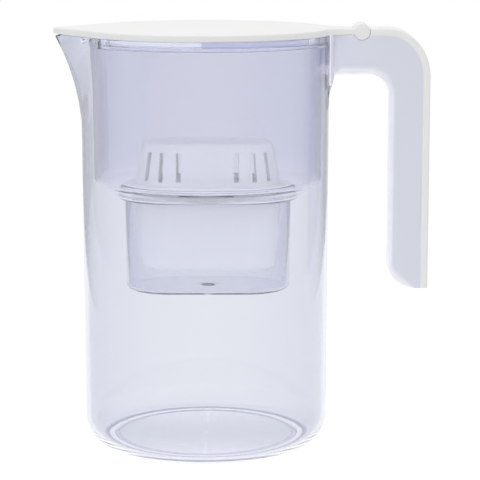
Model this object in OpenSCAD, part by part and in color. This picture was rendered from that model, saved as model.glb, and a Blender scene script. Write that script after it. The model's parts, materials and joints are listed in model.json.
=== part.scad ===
// Water filter pitcher with a flip lid: a clear jug with a drawn-out spout, a tinted upper
// reservoir with an oblong filter cup and cartridge, a hooked handle and a lid hinged on it.
// Millimetres. The origin is on the jug's axis at its base; -X is the spout, +X the handle, +Z up.

/* [Jug] */
// Height of the jug from its base to its rim
jug_h = 246.5; // [215:0.5:290]
// Outer radius of the jug wall, carried down to the base plane
jug_r = 73.2; // [69:0.1:88]
// How much wider the jug is at its rim than at its base, as a radius
jug_flare = 1; // [0:0.1:3]
// Thickness of the jug wall
jug_wall = 2.5; // [2:0.1:3.2]
// Thickness of the jug floor
jug_floor = 3.2; // [2.4:0.1:5]
// Width of the rounded corner between the base and the wall
corner_w = 13.6; // [10:0.2:18]
// Height of the rounded corner between the base and the wall
corner_h = 17; // [12:0.5:22]
// Width of the standing ring round the edge of the base
foot_land = 3.6; // [2:0.1:6]
// Width of the groove inside the standing ring
foot_groove_w = 3.4; // [2:0.1:6]
// Depth of the groove inside the standing ring
foot_groove_d = 0.9; // [0.4:0.1:1.4]

/* [Spout] */
// How far the spout tip stands out from the jug's rim
spout_reach = 15.5; // [10:0.5:24]
// Height over which the spout flares out of the wall
spout_h = 57; // [40:1:75]
// Radius of the spout's tip, seen from above
spout_tip_r = 4; // [3:0.5:7]
// Width of the pouring notch in the tip
notch_w = 12; // [8:0.5:14]
// Depth of the pouring notch in the tip
notch_d = 1; // [0.6:0.1:3.5]

/* [Reservoir] */
// Drop from the jug's rim to the ledge that the reservoir hangs on
ledge_drop = 5.8; // [5:0.1:8]
// Width of the ledge inside the jug wall
ledge_w = 1; // [0.8:0.1:1.3]
// Depth of the reservoir below the ledge
res_depth = 92.2; // [75:0.1:110]
// Radial gap between the reservoir's mouth and the jug wall
res_gap = 2.7; // [2.4:0.1:5]
// How much narrower the reservoir is at its foot than at its mouth, as a radius
res_draft = 0.9; // [0:0.1:2.5]
// How far the reservoir's axis sits towards the handle, which opens the pouring channel
res_shift = 1.5; // [0.5:0.1:2]
// Thickness of the reservoir wall
res_wall = 2; // [1.6:0.1:2.4]
// Thickness of the reservoir floor
res_floor = 2.5; // [2:0.1:4]
// Width of the flat land on the reservoir floor, outside the cup's flange
res_land = 0.3; // [0.2:0.1:1.5]
// Height of the funnel that leads from the round wall down to the oblong cup
funnel_h = 9; // [6:0.5:14]
// Radius of the bend where the funnel meets the wall
funnel_bend = 6; // [2.5:0.1:8]
// Thickness of the reservoir's hanging flange
flange_t = 2; // [1.4:0.1:2.6]
// Half width of the opening in the flange where water passes to the spout
pour_gap_half = 40; // [30:1:44]

/* [Filter cup] */
// Half length of the oblong filter cup at its mouth
cup_half_len = 50; // [46:0.5:54]
// Radius of the cup's round ends at its mouth
cup_end_r = 29; // [27:0.5:33]
// How much narrower the cup is at its foot, as a radius
cup_draft = 0.7; // [0:0.1:2]
// Height of the cup from its foot to the underside of the reservoir floor
cup_drop = 55; // [52:0.5:64]
// Thickness of the cup wall
cup_wall = 1.8; // [1.4:0.1:2.4]
// Radius of the rounded corner round the cup's foot
cup_corner_r = 3.5; // [3:0.1:8]
// Radius of the outlet hole in the cup's foot
cup_outlet_r = 4; // [2:0.5:6]
// Width of the cup's rim flange
cup_flange_w = 3; // [2.4:0.1:4]
// Thickness of the cup's rim flange
cup_flange_t = 2; // [1.4:0.1:3]
// Thickness of the rubber seals
seal_t = 1.2; // [0.8:0.1:2]

/* [Filter cartridge] */
// Gap between the cup's wall and the cartridge housing, at the mouth
cart_gap = 3.9; // [3:0.1:6]
// Depth of the housing below the cup's rim
cart_depth = 47; // [40:0.5:51]
// How much narrower the housing is at its foot, as a radius
cart_draft = 3.5; // [0:0.1:5]
// Thickness of the housing's walls and flange
cart_wall = 1.6; // [1.2:0.1:2]
// Height of the slotted cap above the housing's flange
cap_h = 26; // [18:0.5:34]
// How far the cap's foot stands inside the housing's mouth, as a radius
cap_inset = 0.6; // [0:0.1:1]
// How much narrower the cap is at its top, as a radius
cap_draft = 4.6; // [2:0.2:7]
// Width of the cap's inlet slots
slot_w = 2.8; // [1.6:0.2:4]
// Height of the cap's inlet slots
slot_h = 17; // [10:0.5:18]
// Thickness of the woven screens
screen_t = 0.8; // [0.5:0.1:1.2]
// Thickness of the felt pad under the upper screen
pad_t = 4; // [2:0.5:8]
// Depth of the ion exchange resin
resin_depth = 17; // [8:0.5:24]

/* [Lid] */
// Thickness of the lid
lid_t = 3.7; // [3:0.1:5]
// Gap between the jug's rim and the closed lid
lid_gap = 0.3; // [0.2:0.1:0.8]
// How far the lid's edge stands out over the jug's rim
lid_over = 0.4; // [0:0.1:1.5]
// Radius of the blend between the round lid and its tail
tail_blend = 16; // [8:0.5:18]
// Thickness of the liner plate under the lid
liner_t = 1.5; // [1:0.1:1.8]
// How far the liner's skirt reaches below the lid
skirt_drop = 7.1; // [6.6:0.1:8]
// Thickness of the liner's skirt
skirt_t = 1.8; // [1.4:0.1:2.4]
// Gap between the liner's skirt and the reservoir's mouth
skirt_gap = 1.6; // [1.4:0.1:2.4]
// Height of the lid's seal above the lower edge of the skirt
seal_rise = 1; // [0.8:0.1:1.6]
// Height of the lid's seal
seal_h = 2.6; // [2:0.1:3]
// How far the lid's seal stands out of the skirt
seal_out = 0.9; // [0.5:0.1:1]

/* [Lid hinge] */
// Distance of the hinge's axis from the handle's root
hinge_x = 16.5; // [15:0.5:22]
// Height of the hinge's axis above the underside of the lid
hinge_up = 1.5; // [1:0.1:2]
// Radius of the hinge's knuckles
knuckle_r = 4.9; // [4:0.1:5.5]
// Half width of the handle's middle knuckle
knuckle_half = 4.8; // [3.5:0.1:6]
// Radius of the steel hinge pin
pin_r = 1.5; // [1:0.1:2]
// Radial clearance of the pin in the lid's knuckles
pin_clear = 0.05; // [0.02:0.01:0.1]
// Side and end gaps between the lid's knuckles and the handle
hinge_gap = 0.3; // [0.2:0.05:0.6]

/* [Spout flap] */
// Half width of the swinging flap
flap_half = 15; // [10:0.5:17]
// Length of the flap below its axis
flap_len = 2.9; // [2.2:0.1:3.1]
// Thickness of the flap
flap_t = 1.2; // [0.8:0.1:1.6]
// Radius of the flap's two pins
flap_pin_r = 0.8; // [0.6:0.05:1]
// Length of each of the flap's pins
flap_pin_l = 1.5; // [1:0.1:1.8]
// Distance of the flap's axis in front of the reservoir's wall
flap_front = 2; // [1.6:0.1:4]

/* [Handle] */
// Width of the handle
handle_w = 24; // [20:0.5:30]
// Reach of the handle from its root to its outer face
handle_reach = 57.2; // [52:0.5:72]
// Depth of the upper arm, from the lid's top to its underside
arm_depth = 27.5; // [25:0.5:34]
// Thickness of the grip, from its inner face to its outer face
grip_t = 23.5; // [20:0.5:28]
// Drop from the lid's top to the free end of the handle
handle_drop = 155.5; // [120:0.5:175]
// Radius of the outer corner, along the arm
corner_out_x = 25; // [20:0.5:27]
// Radius of the outer corner, down the grip
corner_out_z = 29; // [22:0.5:36]
// Radius of the inner corner
corner_in_r = 13; // [8:0.5:16]
// Radius of the rounded free end on its inner side
toe_r = 14; // [8:0.5:15]
// Thickness of the handle's shell
shell_t = 2.4; // [1.8:0.1:3]
// Thickness of the white strip along the outer face
strip_t = 4; // [3:0.1:5]
// Thickness of the jug's pad that the handle is screwed to
pad_out = 2.1; // [1.2:0.1:3]
// Length of the jug's tongue inside the handle
tongue_l = 12; // [10:0.5:13]
// Height of the jug's tongue
tongue_h = 13; // [10:0.5:14]
// Half width of the jug's tongue
tongue_half = 8; // [7:0.5:9]
// Radius of the handle's two screws
screw_r = 1.5; // [1.2:0.1:1.8]
// Radius of the screw heads
screw_head_r = 2.8; // [2.4:0.1:3.2]
// Depth of the recesses that the screw heads sit in
head_depth = 2.4; // [1.8:0.1:3]

/* [Hidden] */
$fn = 96;

// Small gap that keeps parts of one body apart, and the depth by which cuts run past a face
fit = 0.15;
past = 1;

// Levels, from the rim down
rim_r = jug_r + jug_flare;
ledge_z = jug_h - ledge_drop;
res_z = ledge_z - res_depth;
res_top_z = ledge_z + flange_t;
cup_z = res_z - cup_drop;
cup_seat_z = res_z + res_floor + seal_t;
cup_rim_z = cup_seat_z + cup_flange_t;
cart_seat_z = cup_rim_z + seal_t;
cart_rim_z = cart_seat_z + cart_wall;
cart_z = cup_rim_z - cart_depth;
cap_z = cart_rim_z + cap_h;

// Radii of the jug and what hangs in it
function jug_out(z) = jug_r + jug_flare * z / jug_h;
function jug_in(z) = jug_out(z) - jug_wall;
foot_r = jug_r - corner_w;
ledge_r = jug_in(ledge_z) + ledge_w;
mouth_out_r = jug_in(ledge_z) - res_gap;
mouth_in_r = mouth_out_r - res_wall;
oblong_c = cup_half_len - cup_end_r;
cart_r = cup_end_r - cup_wall - cart_gap;
cart_flange_r = cup_end_r + cup_flange_w - 2;

// Lid, hinge and handle
lid_z = jug_h + lid_gap;
lid_top_z = lid_z + lid_t;
lid_r = rim_r + lid_over;
lid_tip = rim_r + spout_reach + lid_over;
root_x = rim_r + pad_out;
axis_x = root_x + hinge_x;
axis_z = lid_z + hinge_up;
tail_half = handle_w / 2;
seat_z = lid_z - 2 * hinge_gap;
strip_x = axis_x + knuckle_r + 2 * hinge_gap;
out_x = root_x + handle_reach;
in_x = out_x - grip_t;
under_z = lid_top_z - arm_depth;
toe_z = lid_top_z - handle_drop;
tongue_z = seat_z - 4.6 - tongue_h;
screw_x = root_x + tongue_l / 2 + 0.6;
screw_y = tongue_half - screw_r - 1.6;
flap_x = res_shift - mouth_out_r - flap_front;
flap_bore_r = flap_pin_r + pin_clear;
lug_r = flap_bore_r + 1.1;
flap_z = lid_z - lug_r - fit;
seal_z = lid_z - skirt_drop + seal_rise;

// Points of an elliptical arc, from angle a0 to angle a1
function arc(c, rx, ry, a0, a1, n) =
    [for (i = [0:n]) let (a = a0 + (a1 - a0) * i / n) [c[0] + rx * cos(a), c[1] + ry * sin(a)]];

// Revolves a half profile about Z
module revolve(points) rotate_extrude() polygon(points);

// Extrudes an outline in the XZ plane along Y, centred on Y = 0
module slab_y(points, width)
    rotate([90, 0, 0]) translate([0, 0, -width / 2]) linear_extrude(width) polygon(points);

// A block between two corners
module block(low, high) translate(low) cube(high - low);

// An oblong solid: a half profile revolved at both ends and run straight between them
module oblong(points) {
    for (side = [-1, 1])
        translate([side * oblong_c, 0, 0]) rotate([0, 0, side > 0 ? -90 : 90])
            rotate_extrude(angle = 180) polygon(points);
    rotate([90, 0, 90]) translate([0, 0, -oblong_c]) linear_extrude(2 * oblong_c)
        polygon(concat(points, [for (i = [len(points) - 1:-1:0]) [-points[i][0], points[i][1]]]));
}

// An oblong of plain tapered section
module oblong_block(low_r, high_r, low_z, high_z)
    oblong([[0, low_z], [low_r, low_z], [high_r, high_z], [0, high_z]]);

// A flat oblong ring
module oblong_ring(out_r, in_r, low_z, high_z)
    difference() {
        oblong_block(out_r, out_r, low_z, high_z);
        oblong_block(in_r, in_r, low_z - past, high_z + past);
    }

// A solid through a list of rings, each a list of [x, y, z] points in the same order
module loft(rings) {
    n = len(rings[0]);
    m = len(rings);
    sides = [for (i = [0:m - 2], j = [0:n - 1], half = [0, 1])
        let (a = i * n + j, b = i * n + (j + 1) % n)
        half == 0 ? [a, a + n, b + n] : [a, b + n, b]];
    caps = [[for (j = [0:n - 1]) j], [for (j = [n - 1:-1:0]) (m - 1) * n + j]];
    polyhedron([for (r = rings) each r], concat(sides, caps));
}

// Outline of a round plan drawn out to a tip: half the open angle where it meets the round part
function tip_angle(r, tip, tip_r) = acos(min(1, (r - tip_r) / (tip - tip_r)));

// How far the spout stands out at height z, and how round its tip is there
function spout_t(z) = max(0, min(1, (z - jug_h + spout_h) / spout_h));
function spout_out(z) = spout_reach * pow(spout_t(z), 1.85);
function spout_tip(z) = spout_tip_r + (jug_r * 0.7 - spout_tip_r) * pow(1 - spout_t(z), 1.4);

// One ring of the spout at height z, set in from its outside
function spout_ring(z, inset, top_z) =
    let (r = jug_out(z) - inset - 0.4,
         tip = jug_out(z) + spout_out(z) - inset,
         tip_r = max(1.6, spout_tip(z) - inset),
         open = tip_angle(r, tip, tip_r),
         side = [for (a = [52, 46, 40]) [-r * cos(a), r * sin(a)]],
         nose = arc([tip_r - tip, 0], tip_r, tip_r, 180 - open, 180 + open, 14),
         meet = [-r * cos(open), r * sin(open)],
         back = [for (a = [40, 46, 52]) [-r * cos(a), -r * sin(a)]])
    [for (p = concat(side, [meet], nose, [[meet[0], -meet[1]]], back)) [p[0], p[1], top_z]];

// The spout's outside, or its hollow when set in by the wall
module spout(inset, over) {
    steps = 12;
    rings = [for (i = [0:steps]) let (z = jug_h - spout_h * (1 - i / steps)) spout_ring(z, inset, z)];
    loft(over > 0 ? concat(rings, [spout_ring(jug_h, inset, jug_h + over)]) : rings);
}

// The clear jug: body, spout, standing ring, reservoir ledge, handle pad and tongue
module jug() {
    outside = concat([[0, 0], [foot_r, 0]],
        arc([foot_r, corner_h], jug_out(corner_h) - foot_r, corner_h, -80, 0, 8),
        [[rim_r, jug_h], [0, jug_h]]);
    inside = concat([[0, jug_floor], [foot_r, jug_floor]],
        arc([foot_r, corner_h], jug_in(corner_h) - foot_r, corner_h - jug_floor, -80, 0, 8),
        [[jug_in(ledge_z), ledge_z], [ledge_r, ledge_z], [ledge_r, jug_h + past], [0, jug_h + past]]);
    pad = [[rim_r - 2, under_z - 15], [jug_out(under_z), under_z - 15], [root_x, under_z - 1],
           [root_x, jug_h], [rim_r - 2, jug_h]];
    color([0.86, 0.87, 0.93, 0.45])
    difference() {
        union() {
            revolve(outside);
            spout(0, 0);
            slab_y(pad, handle_w + 2);
            block([rim_r, -tongue_half, tongue_z], [root_x + tongue_l, tongue_half, tongue_z + tongue_h]);
        }
        revolve(inside);
        spout(jug_wall, past);
        notch_r = (pow(notch_w / 2, 2) + notch_d * notch_d) / (2 * notch_d);
        translate([-rim_r - spout_reach - past, 0, jug_h + notch_r - notch_d]) rotate([0, 90, 0])
            cylinder(r = notch_r, h = spout_reach);
        difference() {
            cylinder(r = foot_r - foot_land, h = 2 * foot_groove_d, center = true);
            cylinder(r = foot_r - foot_land - foot_groove_w, h = 3 * foot_groove_d, center = true);
        }
        for (side = [-1, 1])
            translate([screw_x, side * screw_y, tongue_z + 3]) cylinder(r = screw_r + 0.05, h = tongue_h);
    }
}

// A solid bowl: a round wall, a bend, and a funnel down to an oblong
module bowl(wall_r, bend, bend_z, mouth_r, top_z, low_r, low_z) {
    revolve(concat([[0, bend_z]],
        arc([wall_r - bend, bend_z + bend * sin(60)], bend, bend, -60, 0, 4),
        [[mouth_r, top_z], [0, top_z]]));
    hull() {
        oblong_block(low_r, low_r, low_z, low_z + 0.02, $fn = 64);
        translate([0, 0, bend_z]) cylinder(r = wall_r - bend / 2, h = 0.3, $fn = 96);
    }
}

// The tinted reservoir that hangs on the jug's ledge, with a funnel floor and an oblong opening in it
module reservoir() {
    foot_out = mouth_out_r - res_draft;
    land_r = cup_end_r + cup_flange_w + res_land;
    funnel_z = res_z + funnel_h;
    in_z = funnel_z + res_floor - 0.6;
    in_bend = funnel_bend - res_wall;
    rib_r = mouth_out_r - 0.2;
    rib_foot_z = res_top_z - 0.5;
    color([0.74, 0.75, 0.85, 0.55])
    difference() {
        union() {
            translate([res_shift, 0, 0])
                bowl(foot_out, funnel_bend, funnel_z, mouth_out_r, res_top_z, land_r, res_z);
            difference() {
                translate([0, 0, ledge_z]) cylinder(r = ledge_r - 2 * fit, h = flange_t);
                block([-2 * rim_r, -2 * rim_r, ledge_z - past],
                      [-sqrt(rim_r * rim_r - pour_gap_half * pour_gap_half) + 4, 2 * rim_r, ledge_z + 3 * past]);
            }
            // Raised finger ribs on both sides of the flange
            for (side = [-1, 1])
                translate([res_shift, 0, rib_foot_z]) rotate([0, 0, side > 0 ? 32 : -92])
                    rotate_extrude(angle = 60)
                        translate([rib_r - 1.4, 0]) square([1.4, lid_z - 0.9 - rib_foot_z]);
            // Two upright lugs beside the pouring gap
            for (side = [-1, 1])
                translate([res_shift, 0, 0]) rotate([0, 0, side * 146])
                    block([rib_r - 1.6, -1.2, rib_foot_z], [rib_r, 1.2, lid_z - 0.6]);
        }
        translate([res_shift, 0, 0])
            bowl(foot_out - res_wall, in_bend, in_z, mouth_in_r, res_top_z + past, land_r, res_z + res_floor);
        translate([res_shift, 0, 0])
            oblong_block(cup_end_r + fit, cup_end_r + fit, res_z - past, res_z + res_floor + past);
    }
}

// The clear filter cup that drops through the reservoir floor and rests on its flange
module filter_cup() {
    foot_end_r = cup_end_r - cup_draft;
    in_corner = cup_corner_r - cup_wall;
    outer = concat([[0, cup_z]],
        arc([foot_end_r - cup_corner_r, cup_z + cup_corner_r], cup_corner_r, cup_corner_r, -90, 0, 6),
        [[cup_end_r, cup_seat_z], [cup_end_r + cup_flange_w, cup_seat_z],
         [cup_end_r + cup_flange_w, cup_rim_z], [0, cup_rim_z]]);
    inner = concat([[0, cup_z + cup_wall]],
        arc([foot_end_r - cup_corner_r, cup_z + cup_corner_r], in_corner, in_corner, -90, 0, 6),
        [[cup_end_r - cup_wall, cup_rim_z + past], [0, cup_rim_z + past]]);
    color([0.87, 0.88, 0.94, 0.5])
    translate([res_shift, 0, 0])
    difference() {
        oblong(outer);
        oblong(inner);
        translate([0, 0, cup_z - past]) cylinder(r = cup_outlet_r, h = cup_wall + 2 * past);
    }
}

// The rubber gasket between the cup's flange and the reservoir floor
module cup_gasket()
    color([0.93, 0.93, 0.95])
    translate([res_shift, 0, 0])
    oblong_ring(cup_end_r + cup_flange_w - 0.4, cup_end_r + fit, cup_seat_z - seal_t, cup_seat_z);

// Inner radius of the cartridge housing's round ends at height z
function cart_in(z) = cart_r - cart_wall - cart_draft * (cart_seat_z - z) / (cart_seat_z - cart_z);

// The white housing of the filter cartridge, open at the top, with outlet holes in its foot
module cartridge_housing() {
    outer = [[0, cart_z], [cart_r - cart_draft, cart_z], [cart_r, cart_seat_z],
             [cart_flange_r, cart_seat_z], [cart_flange_r, cart_rim_z], [0, cart_rim_z]];
    low_z = cart_z + cart_wall;
    inner = [[0, low_z], [cart_in(low_z), low_z], [cart_in(cart_rim_z), cart_rim_z + 0.01],
             [0, cart_rim_z + 0.01]];
    color([0.95, 0.95, 0.97])
    translate([res_shift, 0, 0])
    difference() {
        oblong(outer);
        oblong(inner);
        for (x = [-24:8:24], y = [-8, 0, 8])
            translate([x, y, cart_z - past]) cylinder(r = 1.4, h = cart_wall + 2 * past, $fn = 24);
    }
}

// The slotted cap that lets water into the cartridge
module cartridge_cap() {
    low_r = cart_r - cap_inset;
    high_r = low_r - cap_draft;
    outer = [[0, cart_rim_z], [low_r, cart_rim_z], [high_r, cap_z - 2], [high_r - 2, cap_z], [0, cap_z]];
    inner = [[0, cart_rim_z - 0.01], [low_r - cart_wall, cart_rim_z - 0.01],
             [high_r - cart_wall, cap_z - cart_wall - 1.2], [high_r - cart_wall - 1.2, cap_z - cart_wall],
             [0, cap_z - cart_wall]];
    slot_z = cart_rim_z + 3.5;
    color([0.96, 0.96, 0.98])
    translate([res_shift, 0, 0])
    difference() {
        oblong(outer);
        oblong(inner);
        for (x = [-17, 17])
            block([x - slot_w / 2, -low_r - past, slot_z], [x + slot_w / 2, low_r + past, slot_z + slot_h]);
        for (end = [-1, 1], a = [-72, -46, 46, 72])
            translate([end * oblong_c, 0, slot_z]) rotate([0, 0, end > 0 ? a : 180 - a])
                block([high_r / 2, -slot_w / 2, 0], [low_r + past, slot_w / 2, slot_h]);
    }
}

// The rubber seal between the cartridge's flange and the cup's rim
module cartridge_seal()
    color([0.9, 0.9, 0.93])
    translate([res_shift, 0, 0])
    oblong_ring(cart_flange_r - 0.3, cup_end_r - cup_wall + 0.3, cup_rim_z, cart_seat_z);

// A layer inside the cartridge housing, clear of its walls
module filter_layer(low_z, high_z)
    translate([res_shift, 0, 0])
    oblong_block(cart_in(low_z) - fit, cart_in(high_z) - fit, low_z, high_z);

// Levels of the layers inside the cartridge, from its floor up
outlet_z = cart_z + cart_wall;
resin_z = outlet_z + screen_t;
carbon_z = resin_z + resin_depth;
inlet_z = cart_rim_z - screen_t;
felt_z = inlet_z - pad_t;

module outlet_screen() color([0.85, 0.85, 0.88]) filter_layer(outlet_z, resin_z);
module resin_bed() color([0.82, 0.68, 0.42]) filter_layer(resin_z, carbon_z);
module carbon_bed() color([0.12, 0.12, 0.13]) filter_layer(carbon_z, felt_z);
module felt_pad() color([0.94, 0.94, 0.92]) filter_layer(felt_z, inlet_z);
module inlet_screen() color([0.85, 0.85, 0.88]) filter_layer(inlet_z, cart_rim_z);

// Outer contour of the handle, from x down to its free end, set in by t
function handle_path(x, t) = concat([[x, lid_top_z - t]],
    arc([out_x - corner_out_x, lid_top_z - corner_out_z], corner_out_x - t, corner_out_z - t, 90, 0, 14));

// Inner contour of the handle, from its free end up and back to x, set out by t
function handle_inner(x, t) = concat(
    arc([in_x + toe_r, toe_z + toe_r], toe_r - t, toe_r - t, 270, 180, 10),
    arc([in_x - corner_in_r, under_z - corner_in_r], corner_in_r + t, corner_in_r + t, 0, 90, 10),
    [[x, under_z + t]]);

// The handle's hollow shell, with the hinge's middle knuckle and the pocket for the jug's tongue
module handle_shell() {
    outline = concat([[root_x, seat_z], [strip_x, seat_z]], handle_path(strip_x, strip_t),
        [[out_x - strip_t, toe_z]], handle_inner(root_x, 0));
    channel_x = strip_x + 2;
    channel = concat(handle_path(channel_x, strip_t - past),
        [[out_x - strip_t + past, toe_z + shell_t]], handle_inner(channel_x, shell_t));
    color([0.84, 0.85, 0.9])
    difference() {
        union() {
            slab_y(outline, handle_w);
            block([axis_x - knuckle_r, -knuckle_half, seat_z - 1], [axis_x + knuckle_r, knuckle_half, axis_z]);
            translate([axis_x, 0, axis_z]) rotate([90, 0, 0])
                cylinder(r = knuckle_r, h = 2 * knuckle_half, center = true);
        }
        difference() {
            slab_y(channel, handle_w - 2 * shell_t);
            block([root_x - past, -handle_w, under_z - past], [channel_x, handle_w, lid_top_z]);
        }
        for (side = [-1, 1])
            translate([axis_x, side * (knuckle_half + handle_w / 2), axis_z]) rotate([90, 0, 0])
                cylinder(r = knuckle_r + hinge_gap, h = handle_w, center = true);
        translate([axis_x, 0, axis_z]) rotate([90, 0, 0]) cylinder(r = pin_r, h = handle_w, center = true);
        block([root_x - past, -tongue_half - fit, tongue_z - fit],
              [root_x + tongue_l + fit, tongue_half + fit, tongue_z + tongue_h + fit]);
        for (side = [-1, 1]) translate([screw_x, side * screw_y, 0]) {
            translate([0, 0, tongue_z]) cylinder(r = screw_r + fit, h = 2 * tongue_h);
            translate([0, 0, seat_z - head_depth]) cylinder(r = screw_head_r + fit, h = head_depth + 2 * past);
        }
    }
}

// The white strip that closes the handle's channel, with a locating lip inside it
module handle_strip() {
    lip_x = strip_x + 2 + fit;
    outer = handle_path(strip_x, 0);
    under = handle_path(strip_x, strip_t);
    lip_low = handle_path(lip_x, strip_t + 1.5);
    lip_high = handle_path(lip_x, strip_t - 0.5);
    lip_end = toe_z + shell_t + fit;
    reverse_under = [for (i = [len(under) - 1:-1:0]) under[i]];
    reverse_low = [for (i = [len(lip_low) - 1:-1:0]) lip_low[i]];
    lip_side = handle_w / 2 - shell_t - fit;
    color([0.97, 0.97, 0.96]) union() {
        slab_y(concat(outer, [[out_x, toe_z], [out_x - strip_t, toe_z]], reverse_under), handle_w);
        for (side = [-1, 1])
            translate([0, side * (lip_side - 0.7), 0])
                slab_y(concat(lip_high, [[out_x - strip_t + 0.5, lip_end], [out_x - strip_t - 1.5, lip_end]],
                    reverse_low), 1.4);
    }
}

// The two screws that hold the handle to the jug's tongue
module handle_screws()
    color([0.75, 0.76, 0.78])
    for (side = [-1, 1]) translate([screw_x, side * screw_y, 0]) difference() {
        union() {
            translate([0, 0, tongue_z + 3.2]) cylinder(r = screw_r, h = seat_z - head_depth - tongue_z - 3.2);
            translate([0, 0, seat_z - head_depth]) cylinder(r = screw_head_r, h = head_depth - 0.4);
        }
        translate([0, 0, seat_z - head_depth / 2]) cylinder(r = screw_head_r * 0.45, h = 2, $fn = 6);
    }

// The steel pin of the lid's hinge
module hinge_pin()
    color([0.78, 0.79, 0.8])
    translate([axis_x, 0.5, axis_z]) rotate([90, 0, 0]) cylinder(r = pin_r, h = handle_w - 2.4, center = true);

// Outline of the lid seen from above: a round plate drawn out to the spout's tip
function lid_outline() =
    let (open = tip_angle(lid_r, lid_tip, spout_tip_r))
    concat(arc([0, 0], lid_r, lid_r, open - 180, 180 - open, 72),
        arc([spout_tip_r - lid_tip, 0], spout_tip_r, spout_tip_r, 180 - open, 180 + open, 14));

// Outline of the lid's tail, blended into the round plate on both sides
function tail_outline() =
    let (cy = tail_half + tail_blend,
         cx = sqrt(pow(lid_r + tail_blend, 2) - cy * cy),
         a = atan2(cy, cx))
    concat([[lid_r / 2, -tail_half]],
        [for (p = arc([cx, cy], tail_blend, tail_blend, 180 + a, 270, 8)) [p[0], -p[1]]],
        [[axis_x, -tail_half], [axis_x, tail_half]],
        arc([cx, cy], tail_blend, tail_blend, 270, 180 + a, 8),
        [[lid_r / 2, tail_half]]);

// The white flip lid, with its tail and the hinge's two outer knuckles
module flip_lid() {
    slot_half = knuckle_half + hinge_gap;
    color([0.97, 0.97, 0.96])
    difference() {
        union() {
            translate([0, 0, lid_z]) linear_extrude(lid_t) polygon(lid_outline());
            translate([0, 0, lid_z]) linear_extrude(lid_t) polygon(tail_outline());
            translate([axis_x, 0, axis_z]) rotate([90, 0, 0])
                cylinder(r = knuckle_r, h = 2 * tail_half, center = true);
        }
        block([axis_x - knuckle_r - 2 * hinge_gap, -slot_half, axis_z - 2 * knuckle_r],
              [axis_x + 2 * knuckle_r, slot_half, axis_z + 2 * knuckle_r]);
        translate([axis_x, 1.2, axis_z]) rotate([90, 0, 0])
            cylinder(r = pin_r + pin_clear, h = 2 * tail_half, center = true);
    }
}

// The liner under the lid: a plate, a skirt that enters the reservoir's mouth, and the flap's lugs
module lid_liner() {
    skirt_r = mouth_in_r - skirt_gap;
    skirt_z = lid_z - skirt_drop;
    color([0.95, 0.95, 0.96])
    difference() {
        union() {
            translate([res_shift, 0, 0]) difference() {
                union() {
                    translate([0, 0, skirt_z]) cylinder(r = skirt_r, h = lid_z - skirt_z);
                    translate([0, 0, lid_z - liner_t]) cylinder(r = skirt_r + 0.8, h = liner_t);
                }
                translate([0, 0, skirt_z - past])
                    cylinder(r = skirt_r - skirt_t, h = skirt_drop - liner_t + past);
                translate([0, 0, seal_z]) difference() {
                    cylinder(r = skirt_r + 2, h = seal_h);
                    translate([0, 0, -past]) cylinder(r = skirt_r - 0.8, h = seal_h + 2 * past);
                }
            }
            for (side = [-1, 1]) {
                lug_y = side * (flap_half + 0.2 + 1.1);
                translate([0, lug_y, 0]) {
                    translate([flap_x, 0, flap_z]) rotate([90, 0, 0])
                        cylinder(r = lug_r, h = 2.2, center = true);
                    block([flap_x - lug_r, -1.1, flap_z], [res_shift - skirt_r + 4, 1.1, lid_z]);
                }
            }
        }
        translate([flap_x, 0, flap_z]) rotate([90, 0, 0])
            cylinder(r = flap_bore_r, h = 2 * (flap_half + flap_pin_l + 0.3), center = true);
    }
}

// The rubber seal round the liner's skirt
module lid_seal() {
    skirt_r = mouth_in_r - skirt_gap;
    color([0.88, 0.88, 0.9])
    translate([res_shift, 0, seal_z]) rotate_extrude()
        polygon([[skirt_r - 0.8, 0], [skirt_r + 0.1, 0], [skirt_r + seal_out, seal_h / 2],
                 [skirt_r + 0.1, seal_h], [skirt_r - 0.8, seal_h]]);
}

// The small flap that hangs in front of the reservoir and swings out as water pours
module spout_flap() {
    color([0.9, 0.91, 0.94])
    union() {
        translate([flap_x, 0, flap_z]) rotate([90, 0, 0])
            cylinder(r = flap_pin_r + 0.5, h = 2 * flap_half, center = true);
        translate([flap_x, 0, flap_z]) rotate([90, 0, 0])
            cylinder(r = flap_pin_r, h = 2 * (flap_half + flap_pin_l), center = true);
        block([flap_x - flap_t / 2, -flap_half, flap_z - flap_len], [flap_x + flap_t / 2, flap_half, flap_z]);
    }
}

jug();
reservoir();
filter_cup();
cup_gasket();
cartridge_housing();
cartridge_cap();
cartridge_seal();
inlet_screen();
felt_pad();
carbon_bed();
resin_bed();
outlet_screen();
handle_shell();
handle_strip();
handle_screws();
hinge_pin();
flip_lid();
lid_liner();
lid_seal();
spout_flap();
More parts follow.
